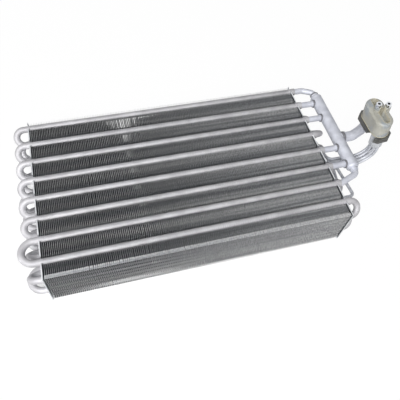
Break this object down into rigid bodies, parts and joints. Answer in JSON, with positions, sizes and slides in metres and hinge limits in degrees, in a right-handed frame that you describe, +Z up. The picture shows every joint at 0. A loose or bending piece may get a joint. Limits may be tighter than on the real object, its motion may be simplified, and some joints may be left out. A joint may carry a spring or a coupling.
{
  "type": "evaporator core",
  "caption": "Fin and tube evaporator core with hairpin tubes, return bends, a suction header, a capillary distributor and a capped connection flange.",
  "frame": {"origin": "centre of the footprint, on the surface that the two end plates stand on", "axes": "+X along the tubes, from the hairpin bends to the connection flange; +Y across the tube rows, away from the viewer; +Z up, through the tube layers"},
  "size_m": [0.56, 0.2564, 0.1346],
  "materials": {
    "plate": "bright rolled sheet",
    "fin": "thin matte sheet",
    "tube": "bright drawn tube",
    "header": "matte drawn tube",
    "flange": "dark matte block",
    "fitting": "turned",
    "capillary": "drawn tube",
    "cap": "milky translucent moulding",
    "screw": "bright plated"
  },
  "bodies": {
    "root": {"end_plate_left": "plate", "end_plate_right": "plate", "fins": "fin", "hairpin_01": "tube", "hairpin_02": "tube", "hairpin_03": "tube", "hairpin_04": "tube", "hairpin_05": "tube", "hairpin_06": "tube", "hairpin_07": "tube", "hairpin_08": "tube", "hairpin_09": "tube", "hairpin_10": "tube", "hairpin_11": "tube", "hairpin_12": "tube", "hairpin_13": "tube", "hairpin_14": "tube", "hairpin_15": "tube", "hairpin_16": "tube", "return_bend_01": "tube", "return_bend_02": "tube", "return_bend_03": "tube", "return_bend_04": "tube", "return_bend_05": "tube", "return_bend_06": "tube", "return_bend_07": "tube", "return_bend_08": "tube", "return_bend_09": "tube", "return_bend_10": "tube", "outlet_tube_1": "tube", "outlet_tube_2": "tube", "outlet_tube_3": "tube", "outlet_tube_4": "tube", "outlet_tube_5": "tube", "outlet_tube_6": "tube", "suction_header": "header", "header_cap_far": "header", "header_cap_near": "header", "suction_pipe": "header", "connection_flange": "flange", "distributor": "fitting", "capillary_1": "capillary", "capillary_2": "capillary", "capillary_3": "capillary", "capillary_4": "capillary", "capillary_5": "capillary", "capillary_6": "capillary", "inlet_adapters": "fitting", "transport_cap": "cap", "cap_screws": "screw"}
  },
  "joints": []
}
